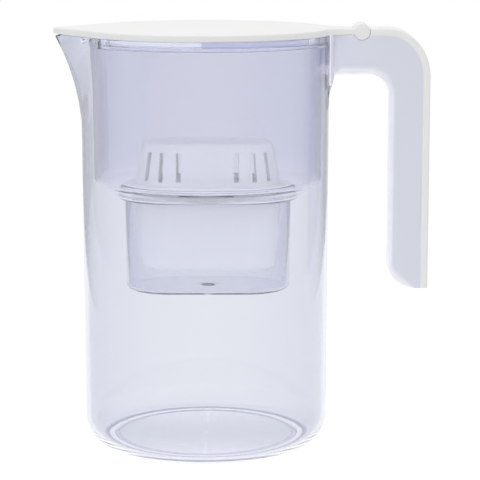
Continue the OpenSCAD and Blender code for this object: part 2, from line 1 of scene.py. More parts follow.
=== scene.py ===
# Water filter pitcher: the finish and the smooth shells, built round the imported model.
# Lengths are in millimetres until a mesh is made; the scene itself is in metres.
import json
from math import acos, atan2, cos, degrees, hypot, pi, radians, sin, sqrt
import bmesh
import bpy
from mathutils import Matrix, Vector


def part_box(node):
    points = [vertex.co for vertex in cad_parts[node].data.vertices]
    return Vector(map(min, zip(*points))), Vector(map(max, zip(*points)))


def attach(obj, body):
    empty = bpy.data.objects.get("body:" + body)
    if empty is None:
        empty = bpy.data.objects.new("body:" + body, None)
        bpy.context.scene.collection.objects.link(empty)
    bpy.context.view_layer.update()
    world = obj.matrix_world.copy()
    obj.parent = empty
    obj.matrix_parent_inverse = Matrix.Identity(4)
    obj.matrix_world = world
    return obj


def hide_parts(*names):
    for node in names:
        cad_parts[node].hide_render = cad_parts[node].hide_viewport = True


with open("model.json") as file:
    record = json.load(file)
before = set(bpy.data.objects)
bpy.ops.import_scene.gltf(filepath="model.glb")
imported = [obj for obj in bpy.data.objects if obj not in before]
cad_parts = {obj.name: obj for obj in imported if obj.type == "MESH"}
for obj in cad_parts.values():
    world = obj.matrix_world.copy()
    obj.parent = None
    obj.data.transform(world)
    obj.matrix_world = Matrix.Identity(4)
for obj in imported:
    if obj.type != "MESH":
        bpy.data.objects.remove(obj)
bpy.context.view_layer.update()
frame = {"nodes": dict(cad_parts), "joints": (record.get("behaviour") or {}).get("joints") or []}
mm = 0.001
sharpAngle = 35  # edges that turn by more degrees than this stay sharp
mergeGap = 0.0005  # points closer than this are made one
fineBore = 0.01  # turned solids keep a bore this fine in place of poles
print("frame loaded:", len(frame["nodes"]), "nodes")


def boxMm(node):
    low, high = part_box(node)
    return [v / mm for v in low], [v / mm for v in high]


def jointMm(number):
    return [v / mm for v in frame["joints"][number]["pos_m"]]


def toLinear(hexColour):
    # the usual sRGB curve, with full opacity
    parts = [int(hexColour[i:i + 2], 16) / 255 for i in (1, 3, 5)]
    return (*(c / 12.92 if c <= 0.04045 else ((c + 0.055) / 1.055) ** 2.4 for c in parts), 1.0)


def mix(a, b, t):
    return a + (b - a) * t


def smooth(t):
    t = max(0.0, min(1.0, t))
    return t * t * (3 - 2 * t)


def addNode(tree, kind, settings=None):
    # one node; a value is a setting, a socket's own value, or another node's output to link to it
    node = tree.nodes.new("ShaderNode" + kind)
    for key, value in (settings or {}).items():
        if isinstance(value, bpy.types.NodeSocket):
            tree.links.new(value, node.inputs[key])
        elif isinstance(key, int) or key in node.inputs:
            node.inputs[key].default_value = value
        else:
            setattr(node, key, value)
    return node


def spreadAngles(count, busy):
    # angles round a full turn, closer together in the busy zones, each given as its centre, its half
    # width and its weight, in degrees
    steps = 3600
    total, sums = 0.0, [0.0]
    for i in range(steps):
        a = i * 360 / steps
        weight = 1.0
        for centre, half, extra in busy:
            gap = abs((a - centre + 180) % 360 - 180)
            weight += extra * (1 - smooth(gap / half))
        total += weight
        sums.append(total)
    out, j = [], 0
    for k in range(count):
        target = total * k / count
        while sums[j + 1] < target:
            j += 1
        out.append(radians((j + (target - sums[j]) / (sums[j + 1] - sums[j])) * 360 / steps))
    return out


def arc(cx, cz, rx, rz, a0, a1, n):
    # points of an elliptical arc, in degrees, both ends included
    turns = [radians(mix(a0, a1, i / n)) for i in range(n + 1)]
    return [(cx + rx * cos(a), cz + rz * sin(a)) for a in turns]


def addRings(bm, rings, closed=False):
    # quads between rings of equal count; the ends are closed by one flat face each, or joined round
    rows = [[bm.verts.new((x * mm, y * mm, z * mm)) for x, y, z in ring] for ring in rings]
    n = len(rows[0])
    pairs = list(zip(rows, rows[1:])) + ([(rows[-1], rows[0])] if closed else [])
    for low, high in pairs:
        for j in range(n):
            bm.faces.new((low[j], low[(j + 1) % n], high[(j + 1) % n], high[j]))
    if not closed:
        bm.faces.new(list(reversed(rows[0])))
        bm.faces.new(rows[-1])


def addLathe(bm, profile, centre, axis="z", count=64):
    # a closed half profile [(radius, height), ...] turned about an axis
    rings = []
    for k in range(count):
        a = 2 * pi * k / count
        ring = [(r * cos(a), r * sin(a), h) for r, h in profile]
        if axis == "y":
            ring = [(x, z, y) for x, y, z in ring]
        rings.append([tuple(c + v for c, v in zip(centre, p)) for p in ring])
    addRings(bm, rings, closed=True)


def addRod(bm, radius, low, high, centre, axis="z", count=64):
    addLathe(bm, [(fineBore, low), (radius, low), (radius, high), (fineBore, high)], centre, axis, count)


def addBlock(bm, low, high, edge):
    # a block between two corners with its edges eased
    verts = [bm.verts.new(tuple(v * mm for v in (x, y, z)))
             for z in (low[2], high[2]) for y in (low[1], high[1]) for x in (low[0], high[0])]
    faces = [bm.faces.new([verts[i] for i in quad]) for quad in
             ((0, 2, 3, 1), (4, 5, 7, 6), (0, 1, 5, 4), (2, 6, 7, 3), (0, 4, 6, 2), (1, 3, 7, 5))]
    edges = {e for f in faces for e in f.edges}
    if edge > 0:
        bmesh.ops.bevel(bm, geom=list(edges), offset=edge * mm, segments=3, affect="EDGES",
                        profile=0.5)


shaped = []  # names of the pieces made here


def addObject(name, data):
    added = bpy.data.objects.new(name, data)
    bpy.context.scene.collection.objects.link(added)
    return added


def meshFrom(name, bm):
    bmesh.ops.recalc_face_normals(bm, faces=bm.faces)
    mesh = bpy.data.meshes.new(name)
    bm.to_mesh(mesh)
    bm.free()
    return mesh


def makePiece(name, bm, look, nodes=(), sharp=sharpAngle, body="pitcher"):
    # look names a material of finish, and nodes are the pieces of the CAD model that it stands for
    shaped.append(name)
    bmesh.ops.remove_doubles(bm, verts=bm.verts, dist=mergeGap * mm)
    mesh = meshFrom(name, bm)
    mesh.shade_smooth()
    mesh.set_sharp_from_angle(angle=radians(sharp))
    piece = addObject(name, mesh)
    mesh.materials.append(finish[look])
    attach(piece, body)
    if nodes:
        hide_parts(*nodes)
    return piece


def ringPiece(name, rings, look, nodes, sharp=sharpAngle, closed=False, body="pitcher"):
    bm = bmesh.new()
    addRings(bm, rings, closed)
    return makePiece(name, bm, look, nodes, sharp, body)


def combine(piece, bm, operation):
    # cuts or joins the solids in bm, once, and keeps the result as the piece's own mesh
    mesh = meshFrom("tool", bm)
    tool = addObject("tool", mesh)
    step = piece.modifiers.new("combine", "BOOLEAN")
    step.operation = operation
    step.solver = "EXACT"
    step.use_self = True
    step.object = tool
    bpy.context.view_layer.update()
    depsgraph = bpy.context.evaluated_depsgraph_get()
    result = bpy.data.meshes.new_from_object(piece.evaluated_get(depsgraph))
    piece.modifiers.clear()
    old = piece.data
    piece.data = result
    result.shade_smooth()
    result.set_sharp_from_angle(angle=radians(sharpAngle))
    bpy.data.meshes.remove(old)
    bpy.data.objects.remove(tool)
    bpy.data.meshes.remove(mesh)


def newMaterial(name, colour, roughness, ior, more=None):
    # a plain material; further inputs of its shader are given by name
    material = bpy.data.materials.new(name)
    material.use_nodes = True
    inputs = material.node_tree.nodes["Principled BSDF"].inputs
    inputs["Base Color"].default_value = toLinear(colour)
    for key, value in {"Roughness": roughness, "IOR": ior, **(more or {})}.items():
        inputs[key].default_value = value
    return material, material.node_tree, inputs


def placeOn(tree, space="Object"):
    return addNode(tree, "TexCoord").outputs[space]


def axesOf(tree, space="Object"):
    return addNode(tree, "SeparateXYZ", {"Vector": placeOn(tree, space)}).outputs


def maths(tree, operation, first, second):
    return addNode(tree, "Math", {"operation": operation, 0: first, 1: second}).outputs["Value"]


def remap(tree, value, settings):
    return addNode(tree, "MapRange", {**settings, "Value": value}).outputs["Result"]


def mixColours(tree, amount, first, second):
    # from the first colour to the second; each is a hex colour or another node's output
    a, b = (toLinear(c) if isinstance(c, str) else c for c in (first, second))
    return addNode(tree, "Mix", {"data_type": "RGBA", "Factor": amount, "A": a, "B": b}).outputs["Result"]


def objectNoise(tree, size, detail=2.0, stretch=(1, 1, 1)):
    # noise whose blobs are about this many millimetres across
    scaled = addNode(tree, "Mapping", {"Scale": stretch, "Vector": placeOn(tree)})
    return addNode(tree, "TexNoise", {"Scale": 1 / (size * mm), "Detail": detail,
                                      "Vector": scaled.outputs["Vector"]}).outputs["Fac"]


def bumpFrom(tree, shader, height, strength, distance):
    bump = addNode(tree, "Bump", {"Strength": strength, "Distance": distance * mm, "Height": height})
    tree.links.new(bump.outputs["Normal"], shader["Normal"])


def clearSan(name, colour, slant, roughness, zones=()):
    # SAN, injection moulded in a polished tool: glass-clear with a faint violet cast, deeper where
    # it is looked through at a slant, and slow ripples where the melt flowed.
    # A zone is (colour, axis, from, to) in millimetres: deeper where the moulding is thick; some zones are
    # painted shade, and one is painted light
    material, tree, shader = newMaterial(name, colour, roughness, 1.56, {"Transmission Weight": 1.0})
    facing = addNode(tree, "LayerWeight", {"Blend": 0.5})
    tint = mixColours(tree, facing.outputs["Facing"], colour, slant)
    for zoneColour, axis, start, end in zones:
        amount = remap(tree, axesOf(tree)[axis], {"From Min": start * mm, "From Max": end * mm})
        tint = mixColours(tree, amount, tint, zoneColour)
    tree.links.new(tint, shader["Base Color"])
    bumpFrom(tree, shader, objectNoise(tree, 38, 1.0, (1, 1, 0.35)), 0.25, 0.06)
    return material


def whiteAbs(name, colour, roughness):
    # ABS, moulded in a finely spark-eroded tool: a soft satin white with a very fine grain
    material, tree, shader = newMaterial(name, colour, roughness, 1.53)
    grain = objectNoise(tree, 0.9, 3.0)
    bumpFrom(tree, shader, grain, 0.08, 0.03)
    gloss = remap(tree, grain, {"To Min": roughness - 0.04, "To Max": roughness + 0.05})
    tree.links.new(gloss, shader["Roughness"])
    return material


def milkySan(side, edge):
    # SAN with a milky filler, satin moulded: a little light soaks in, and its rounded edges carry a painted
    # glow
    material, tree, shader = newMaterial("milkySanSatin", side, 0.3, 1.56, {
        "Transmission Weight": 0.1, "Coat Weight": 0.3, "Coat Roughness": 0.2,
        "Sheen Weight": 0.5, "Sheen Roughness": 0.4})
    bumpFrom(tree, shader, objectNoise(tree, 26, 1.0), 0.1, 0.05)
    # painted glow: the base colour turns white where the surface stops facing sideways, so the roundings look
    # lit
    sideways = maths(tree, "ABSOLUTE", axesOf(tree, "Normal")["Y"], 0.0)
    turned = remap(tree, sideways, {"From Min": 0.98, "From Max": 0.8})
    tree.links.new(mixColours(tree, turned, side, edge), shader["Base Color"])
    return material


def polypropylene(name, colour, translucent):
    # white polypropylene, plain moulded: slightly waxy, and light comes through its thin walls
    material, tree, shader = newMaterial(name, colour, 0.42, 1.49, {"Transmission Weight": translucent})
    bumpFrom(tree, shader, objectNoise(tree, 1.6, 2.0), 0.12, 0.04)
    return material


def fadingCard(name, colour, across, most):
    # grey card, matt, and cut to a fringe so that it fades out at both ends of one direction
    material, tree, shader = newMaterial(name, colour, 0.9, 1.45)
    centred = remap(tree, axesOf(tree, "Generated")[across], {"To Min": -1.0, "To Max": 1.0})
    squared = maths(tree, "MULTIPLY", centred, centred)
    tree.links.new(remap(tree, squared, {"To Min": most, "To Max": 0.0}), shader["Alpha"])
    return material


def silicone():
    # silicone rubber, press moulded: milky white with a dull, faintly dusty skin
    material, tree, shader = newMaterial("siliconeMoulded", "#F1F1F4", 0.55, 1.43, {"Sheen Weight": 0.15})
    bumpFrom(tree, shader, objectNoise(tree, 0.7, 4.0), 0.15, 0.04)
    return material


def drawnSteel():
    # stainless steel wire, drawn and cut: bright, with fine lines along its length
    material, tree, shader = newMaterial("stainlessDrawn", "#C9CACC", 0.28, 1.5, {"Metallic": 1.0})
    bumpFrom(tree, shader, objectNoise(tree, 0.5, 2.0, (1, 0.05, 1)), 0.2, 0.02)
    return material


def wovenPolyester():
    # polyester screen, woven: threads 0.3 mm apart, drawn at 0.6 mm so that the weave can show
    material, tree, shader = newMaterial("polyesterScreenWoven", "#F4F4F4", 0.6, 1.57)
    pitch, bandsApart = 0.6 * mm, 0.314  # the wave texture's own bands are this far apart at scale 1
    waves = {"Scale": bandsApart / pitch, "Vector": placeOn(tree)}
    warp, weft = (addNode(tree, "TexWave", {"bands_direction": direction, **waves}).outputs["Fac"]
                  for direction in ("X", "Y"))
    bumpFrom(tree, shader, maths(tree, "MAXIMUM", warp, weft), 0.6, 0.15)
    return material


def needledFelt():
    # polyester felt, needled: short matted fibres 0.5 mm across
    material, tree, shader = newMaterial("polyesterFeltNeedled", "#F0F0EC", 0.9, 1.57)
    bumpFrom(tree, shader, objectNoise(tree, 1.2, 6.0, (1, 0.3, 1)), 0.8, 0.3)
    return material


def granules(name, dark, light, size, roughness):
    # loose grains of this size in millimetres, with painted shade: each grain lighter towards its middle and
    # darker in the gaps between grains
    material, tree, shader = newMaterial(name, dark, roughness, 1.5)
    cells = addNode(tree, "TexVoronoi", {"Scale": 1 / (size * mm), "Vector": placeOn(tree)})
    away = cells.outputs["Distance"]
    tree.links.new(mixColours(tree, away, light, dark), shader["Base Color"])
    bumpFrom(tree, shader, away, 0.9, size * 0.5)
    return material


finish = {
    "jug": clearSan("clearSanPolished", "#EFF0F5", "#DCDEEA", 0.0,
                    [("#E2E5EE", "Z", 3.6, 2.8),  # the thick base, and painted shade of the floor beneath it
                     ("#A0A3B8", "Z", 0.95, 0.8), ("#E2E5EE", "Z", 0.2, 0.08),  # painted shade, dark in the groove and on the steps of the standing ring
                     ("#DDDFE9", "X", -62, -80),  # painted shade towards the spout's side
                     ("#CDCEE6", "X", 74.25, 74.6)]),  # the solid pad by the handle
    "reservoir": clearSan("tintedSanPolished", "#F3F3F9", "#EAEBF3", 0.0,
                          [("#FDFDFF", "Z", 168, 156),  # painted light, paler over the funnel
                           ("#E4E5F0", "Z", 240.2, 240.9)]),  # the flange, seen edge on
    "cup": clearSan("cupSanPolished", "#F4F5F9", "#E4E5F0", 0.0),
    "flap": clearSan("flapSanPolished", "#E9EAF2", "#DFE0EC", 0.05),
    # the white is the painted glow of the handle's roundings
    "handle": milkySan("#E8EAF6", "#FFFFFF"),
    "lid": whiteAbs("whiteAbsSatin", "#F1F1F0", 0.45),
    "liner": whiteAbs("whiteAbsLiner", "#F7F7FB", 0.45),
    # the housing's grey, below the dome's white, is painted shade, for it stands inside the cup
    "cartridge": polypropylene("whitePolypropyleneMoulded", "#DFDEDB", 0.0),
    "dome": polypropylene("thinPolypropyleneMoulded", "#FCFCF8", 0.45),
    "seal": silicone(),
    "steel": drawnSteel(),
    "screen": wovenPolyester(),
    "felt": needledFelt(),
    # crushed to dull black grains, and beads of amber with a wet gloss
    "carbon": granules("activatedCarbonCrushed", "#0E0E10", "#3A3A3E", 1.0, 0.75),
    "resin": granules("exchangeResinBeads", "#8F6A2C", "#D9B066", 0.8, 0.25),
    "card": fadingCard("greyCard", "#8E8F9C", "Y", 0.58),
    # painted contact shadow under the base: a grey patch and two grey rings
    "patch": fadingCard("paintedShadowPatch", "#8E8F9C", "Y", 0.33),
    "ring": fadingCard("paintedShadowRings", "#8E8F9C", "Z", 0.55),
}
print("materials made:", len(finish))


jugLow, jugHigh = boxMm("jug")
jug = {
    "height": jugHigh[2], "rimRadius": jugHigh[1],
    "flare": 1.0,  # how much wider the rim is than the base, as a radius
    "wall": 2.5, "floor": 3.2, "cornerWidth": 13.6, "cornerHeight": 17.0,
    "ringWidth": 3.6,  # standing ring under the base
    "grooveWidth": 3.4, "grooveDepth": 0.9, "spoutHeight": 57.0,
    "spoutTipRadius": 4.0,
    "spoutLeast": 1.4,  # inside radius of its tip
    "spoutBlunt": 0.7,  # tip radius where the spout starts, as a share of the jug's
    "spoutSharpen": 1.4, "spoutCurve": 1.85, "notchHalf": 6.0, "notchDepth": 1.0,
    "notchFade": 14.0,
    "flankEase": 0.3,  # radians over which the spout's flat flanks run into the round
    "spoutHalf": 36.0,  # half angle of the spout at the rim, where there is no ledge
    "rimEdge": 0.35, "ledgeDrop": 5.8, "ledgeWidth": 1.0, "ledgeEdge": 0.3,
    "padHalf": 13.0, "padOut": 2.1, "padEdge": 0.5,
    "padStart": 208.0,  # height where the pad grows out of the wall
    "padFull": 222.0,
    "padSunk": 1.5,  # how deep in the wall it starts
    "blend": 0.9,  # fillet where the pad and the wall meet
}
jug["spoutReach"] = -jugLow[0] - jug["rimRadius"]
jug["baseRadius"] = jug["rimRadius"] - jug["flare"]
ledgeZ = jug["height"] - jug["ledgeDrop"]


def jugOut(z):
    return jug["baseRadius"] + jug["flare"] * z / jug["height"]


def tearRadius(phi, r, tip, tipR):
    # polar radius of a round plan drawn out to a tip; phi is measured from the tip's direction
    phi = abs(phi)
    d = tip - tipR
    if d <= r - tipR:
        return r
    opening = acos((r - tipR) / d)
    touch = atan2(tipR * sin(opening), d + tipR * cos(opening))
    if phi < touch:
        return d * cos(phi) + sqrt(max(0.0, tipR ** 2 - (d * sin(phi)) ** 2))
    # the flank's flat runs into the round gradually, so that no line shows where they meet
    ease = max(1e-6, min(jug["flankEase"], (opening - touch) / 2))
    if phi < opening - ease:
        return r / cos(opening - phi)
    turn = max(0.0, (opening + ease - phi) / (2 * ease))
    return r / cos(ease * (2 * turn ** 3 - turn ** 4))


def jugRadius(theta, z, inset):
    share = max(0.0, min(1.0, (z - jug["height"] + jug["spoutHeight"]) / jug["spoutHeight"]))
    r = jugOut(z) - inset
    tip = r + jug["spoutReach"] * share ** jug["spoutCurve"]
    tipR = mix(jug["baseRadius"] * jug["spoutBlunt"], jug["spoutTipRadius"],
               1 - (1 - share) ** jug["spoutSharpen"])
    tipR = max(jug["spoutLeast"], tipR - inset)
    return tearRadius(theta % (2 * pi) - pi, r, tip, tipR)


def padRadius(theta, z):
    # polar radius of the flat pad behind the handle, or None beside it
    grown = smooth((z - jug["padStart"]) / (jug["padFull"] - jug["padStart"]))
    out = jugOut(z) - jug["padSunk"] + (jug["padOut"] + jug["padSunk"]) * grown
    if z > jug["padFull"]:
        out = jug["rimRadius"] + jug["padOut"]
    if abs(sin(theta)) * out > jug["padHalf"] + 3 or cos(theta) < 0.5:
        return None
    face = out / cos(theta)
    side = jug["padHalf"] / max(1e-6, abs(sin(theta)))
    return (face + side - sqrt((face - side) ** 2 + jug["padEdge"] ** 2)) / 2


def jugRing(angles, z, inset):
    # a ring of the wall, moved in by a distance or by a function of the angle
    ring = []
    for theta in angles:
        depth = inset(theta) if callable(inset) else inset
        r = jugRadius(theta, z, depth)
        outside = depth < 1.4  # the pad doesn't show inside
        pad = padRadius(theta, z) if outside and z > jug["padStart"] - 4 else None
        if pad is not None:
            pad -= depth
            if pad < r + 6:
                r = (r + pad + sqrt((r - pad) ** 2 + jug["blend"] ** 2)) / 2
            r = max(r, pad)
        across = abs(r * sin(theta))
        drop = 0.0
        if cos(theta) < 0 and across < jug["notchHalf"]:
            near = smooth((z - jug["height"] + jug["notchFade"]) / jug["notchFade"])
            drop = jug["notchDepth"] * near * (0.5 + 0.5 * cos(pi * across / jug["notchHalf"]))
        ring.append((r * cos(theta), r * sin(theta), z - drop))
    return ring


def footRings(angles, profile):
    # round rings of the base, given as (radius, height)
    return [[(r * cos(t), r * sin(t), z) for t in angles] for r, z in profile]


def ledgeInset(out):
    # how far in from the outer wall the ledge runs, this far out from the wall's inside; the spout
    # has no ledge
    def depth(theta):
        aside = abs(degrees(theta) - 180)
        return jug["wall"] - out * smooth((aside - jug["spoutHalf"] + 3) / 3)
    return depth


def buildJug():
    # finest at the spout's tip and at the two sides of the pad
    angles = spreadAngles(320, [(180, 14, 5.0), (9.8, 4, 6.0), (350.2, 4, 6.0)])
    footR = jug["baseRadius"] - jug["cornerWidth"]
    ringIn = footR - jug["ringWidth"]
    grooveIn = ringIn - jug["grooveWidth"]
    g = jug["grooveDepth"]
    e = 0.35  # eased edges
    corner = jug["cornerHeight"]
    under = [(12, 0), (26, 0), (40, 0), (grooveIn - e, 0), (grooveIn - 0.1, e * 0.4), (grooveIn, e),
             (grooveIn, g - e), (grooveIn + e, g), (ringIn - e, g), (ringIn, g - e), (ringIn, e),
             (ringIn + 0.1, e * 0.4), (ringIn + e, 0)]
    under += arc(footR, corner, jugOut(corner) - footR, corner, -90, 0, 22)
    rings = footRings(angles, under)
    top, rim = jug["height"], jug["rimEdge"]
    spoutStart = top - jug["spoutHeight"]
    heights = [mix(corner, spoutStart, k / 12) for k in range(1, 13)]
    heights += [mix(spoutStart, top - rim, k / 44) for k in range(1, 45)]
    rings += [jugRing(angles, z, 0) for z in heights]
    rings += [jugRing(angles, top - rim + rim * sin(a), rim * (1 - cos(a)))
              for a in map(radians, (30, 60, 90))]
    step, ease = jug["ledgeWidth"], jug["ledgeEdge"]
    rings += [jugRing(angles, top - ease * (1 - cos(a)), ledgeInset(step + ease * (1 - sin(a))))
              for a in map(radians, (0, 45, 90))]
    rings += [jugRing(angles, z, ledgeInset(step)) for z in (top - 2.5, top - 4.5, ledgeZ + ease)]
    rings += [jugRing(angles, ledgeZ, ledgeInset(out)) for out in (step - ease, 0.2)]
    rings += [jugRing(angles, ledgeZ - 0.2, jug["wall"])]
    rings += [jugRing(angles, z, jug["wall"]) for z in reversed(heights) if z < ledgeZ - 0.6]
    cornerIn = jugOut(corner) - jug["wall"] - footR
    inside = arc(footR, corner, cornerIn, corner - jug["floor"], 0, -90, 18)
    rings += footRings(angles, inside + [(r, jug["floor"]) for r in (50, 36, 22, 10)])
    ringPiece("jug_shell", rings, "jug", ["jug"], sharp=50)


# the tongue that the handle is screwed to stands on the pad
tongue = {
    "length": 12.0, "half": 8.0, "height": 13.0, "drop": 4.9,
    "hole": 1.55, "holeX": 6.6, "holeY": 4.9, "edge": 0.5,
    "gap": 0.02,  # between it and the pad
}
rootX = jug["rimRadius"] + jug["padOut"]
tongueTop = jug["height"] - tongue["drop"]


def screwPlace(side):
    return (rootX + tongue["holeX"], side * tongue["holeY"], 0)


def buildTongue():
    bm = bmesh.new()
    addBlock(bm, (rootX + tongue["gap"], -tongue["half"], tongueTop - tongue["height"]),
             (rootX + tongue["length"], tongue["half"], tongueTop), tongue["edge"])
    piece = makePiece("jug_tongue", bm, "jug")
    holes = bmesh.new()
    for side in (-1, 1):
        addRod(holes, tongue["hole"], tongueTop - 10, tongueTop + 2, screwPlace(side), count=24)
    combine(piece, holes, "DIFFERENCE")


buildJug()
buildTongue()
print("jug built")


reservoir = {
    "shift": 1.5,  # its axis sits this far towards the handle
    "depth": 92.2, "gap": 2.7, "draft": 0.9, "wall": 2.0,
    "floor": 2.5, "flange": 2.0, "pourHalf": 40.0, "land": 0.3,
    "funnel": 9.0,  # height of the funnel between the round wall and the oblong cup
    "bend": 6.0, "bendTurn": 60, "edge": 0.35, "cupRoom": 0.15,
    "rib": 1.4, "ribEdge": 0.5, "ribAngles": (32, 92),
    "ribDrop": 0.6,  # how far below the jug's rim the ribs end, and the lugs
    "lugDrop": 0.3, "lugAngle": 146,
    "lugHalf": (0.8, 1.2),  # across the rim and along it
    "lift": 0.02,  # of what stands on the flange
}
cup = {
    "halfLength": 50.0, "endRadius": 29.0, "draft": 0.7, "drop": 55.0,
    "wall": 1.8, "corner": 3.5, "outlet": 4.0, "flangeWidth": 3.0,
    "flangeThick": 2.0, "gasket": 1.2,
}
cup["centre"] = cup["halfLength"] - cup["endRadius"]
bowlX = reservoir["shift"]
reservoirZ = ledgeZ - reservoir["depth"]
reservoirTop = ledgeZ + reservoir["flange"]
mouthOut = jugOut(ledgeZ) - jug["wall"] - reservoir["gap"]
mouthIn = mouthOut - reservoir["wall"]


def oblongRadius(theta, endR):
    # polar radius of an oblong with round ends
    c = cup["centre"]
    s, k = abs(sin(theta)), abs(cos(theta))
    if s > 1e-9 and endR * k / s <= c:
        return endR / s
    return c * k + sqrt(max(0.0, endR ** 2 - (c * s) ** 2))


def oblongAngles(count):
    return spreadAngles(count, [(0, 40, 1.5), (180, 40, 1.5)])


def polarRing(angles, radiusOf, z):
    # a ring round the axis that the reservoir and the cup share
    return [(bowlX + radiusOf(t) * cos(t), radiusOf(t) * sin(t), z) for t in angles]


def roundRings(angles, profile):
    # circles given as (radius, height)
    return [polarRing(angles, lambda t: r, z) for r, z in profile]


def oblongRings(angles, profile):
    # oblongs given as (end radius, height)
    return [polarRing(angles, lambda t: oblongRadius(t, endR), z) for endR, z in profile]


def blendRing(angles, endR, r, t, z):
    # between an oblong and a circle
    return polarRing(angles, lambda a: mix(oblongRadius(a, endR), r, t), z)


def flangeRadius(theta, inset):
    # the flange follows the jug's ledge, apart from the pouring gap at the spout
    out = jugOut(ledgeZ) - jug["wall"] + jug["ledgeWidth"] - jug["ledgeEdge"] - inset
    full = -bowlX * cos(theta) + sqrt(out ** 2 - (bowlX * sin(theta)) ** 2)
    gapX = -sqrt(jug["rimRadius"] ** 2 - reservoir["pourHalf"] ** 2) + 4
    x = bowlX + full * cos(theta)
    return mix(full, mouthOut + reservoir["edge"], smooth((gapX - x + 0.6) / 1.2))


def buildReservoir():
    # finest at the ends of the oblong and of the pouring gap
    angles = spreadAngles(288, [(0, 24, 2.0), (180, 24, 2.0), (145, 4, 4.0), (215, 4, 4.0)])
    footOut = mouthOut - reservoir["draft"]
    footIn = footOut - reservoir["wall"]
    landR = cup["endRadius"] + cup["flangeWidth"] + reservoir["land"]
    bend, turn, e = reservoir["bend"], reservoir["bendTurn"], reservoir["edge"]
    bendIn = bend - reservoir["wall"]
    holeR = cup["endRadius"] + reservoir["cupRoom"]
    z0, zf = reservoirZ, reservoirZ + reservoir["floor"]
    funnelZ = z0 + reservoir["funnel"]
    funnelIn = funnelZ + reservoir["floor"] - 0.6
    wallZ = funnelZ + bend
    rise = sin(radians(turn))
    steps = 12
    rings = oblongRings(angles, [(holeR, z0 + 0.3), (holeR + 0.3, z0), (landR - 0.6, z0), (landR, z0 + 0.1)])
    rings += [blendRing(angles, landR, footOut - bend / 2, k / steps, mix(z0 + 0.1, funnelZ, k / steps))
              for k in range(1, steps)]
    rings += roundRings(angles, arc(footOut - bend, funnelZ + bend * rise, bend, bend, -turn, 0, 8))
    rings += roundRings(angles, [(mix(footOut, mouthOut, k / 7), mix(wallZ, ledgeZ - 0.5, k / 7))
                                 for k in range(1, 8)])
    rings.append(polarRing(angles, lambda t: min(mouthOut + 0.5, flangeRadius(t, 0.3)), ledgeZ))
    for inset, z in ((e, ledgeZ), (0.0, ledgeZ + e), (0.0, reservoirTop - e), (e, reservoirTop)):
        rings.append(polarRing(angles, lambda t: flangeRadius(t, inset), z))
    rings += roundRings(angles, [(mouthIn + 0.4, reservoirTop), (mouthIn + 0.1, reservoirTop - 0.12)])
    rings += roundRings(angles, [(mix(mouthIn, footIn, k / 7), mix(reservoirTop - 0.5, wallZ + 1, k / 7))
                                 for k in range(7)])
    rings += roundRings(angles, arc(footIn - bendIn, funnelIn + bendIn * rise, bendIn, bendIn, 0, -turn, 5))
    rings += [blendRing(angles, landR, footIn - bendIn / 2, k / steps, mix(zf, funnelIn, k / steps))
              for k in range(steps - 1, 0, -1)]
    rings += oblongRings(angles, [(landR, zf), (holeR + 0.3, zf), (holeR, zf - 0.3)])
    ringPiece("reservoir_bowl", rings, "reservoir", ["reservoir"], 50, True)


def addRib(bm, r0, r1, a0, a1, z0, z1):
    # a bar that follows the rim, with its long edges eased, between two angles in degrees
    edge, steps = reservoir["ribEdge"], 40
    section = [(r0 + edge, z1), (r0, z1 - edge), (r0, z0), (r1, z0), (r1, z1 - edge), (r1 - edge, z1)]
    rings = []
    for k in range(steps + 1):
        a = radians(mix(a0, a1, k / steps))
        rings.append([(bowlX + r * cos(a), r * sin(a), z) for r, z in section])
    addRings(bm, rings)


def addLug(bm, r, angle, z0, z1):
    # an upright lug that narrows at its top
    a = radians(angle)
    across, along = reservoir["lugHalf"]
    rings = []
    for z, grow in ((z0, 1.0), (z1 - 1.2, 1.0), (z1 - 0.4, 0.8), (z1, 0.4)):
        section = [(r + out * across, side * along * grow)
                   for out, side in ((-1, -1), (1, -1), (1, 1), (-1, 1))]
        rings.append([(bowlX + q * cos(a) - t * sin(a), q * sin(a) + t * cos(a), z) for q, t in section])
    addRings(bm, rings)


def buildRimDetails():
    # finger ribs on both sides of the flange, and two upright lugs beside the pouring gap
    bm = bmesh.new()
    ribR = mouthOut - 0.2
    low, (start, end) = reservoirTop + reservoir["lift"], reservoir["ribAngles"]
    for side in (-1, 1):
        addRib(bm, ribR - reservoir["rib"], ribR, side * start, side * end, low,
               jug["height"] - reservoir["ribDrop"])
        addLug(bm, ribR - reservoir["lugHalf"][0], side * reservoir["lugAngle"], low,
               jug["height"] - reservoir["lugDrop"])
    makePiece("reservoir_ribs", bm, "reservoir", sharp=30)


buildReservoir()
buildRimDetails()
print("reservoir built")


cupZ = reservoirZ - cup["drop"]
cupSeat = reservoirZ + reservoir["floor"] + cup["gasket"]
cupRim = cupSeat + cup["flangeThick"]


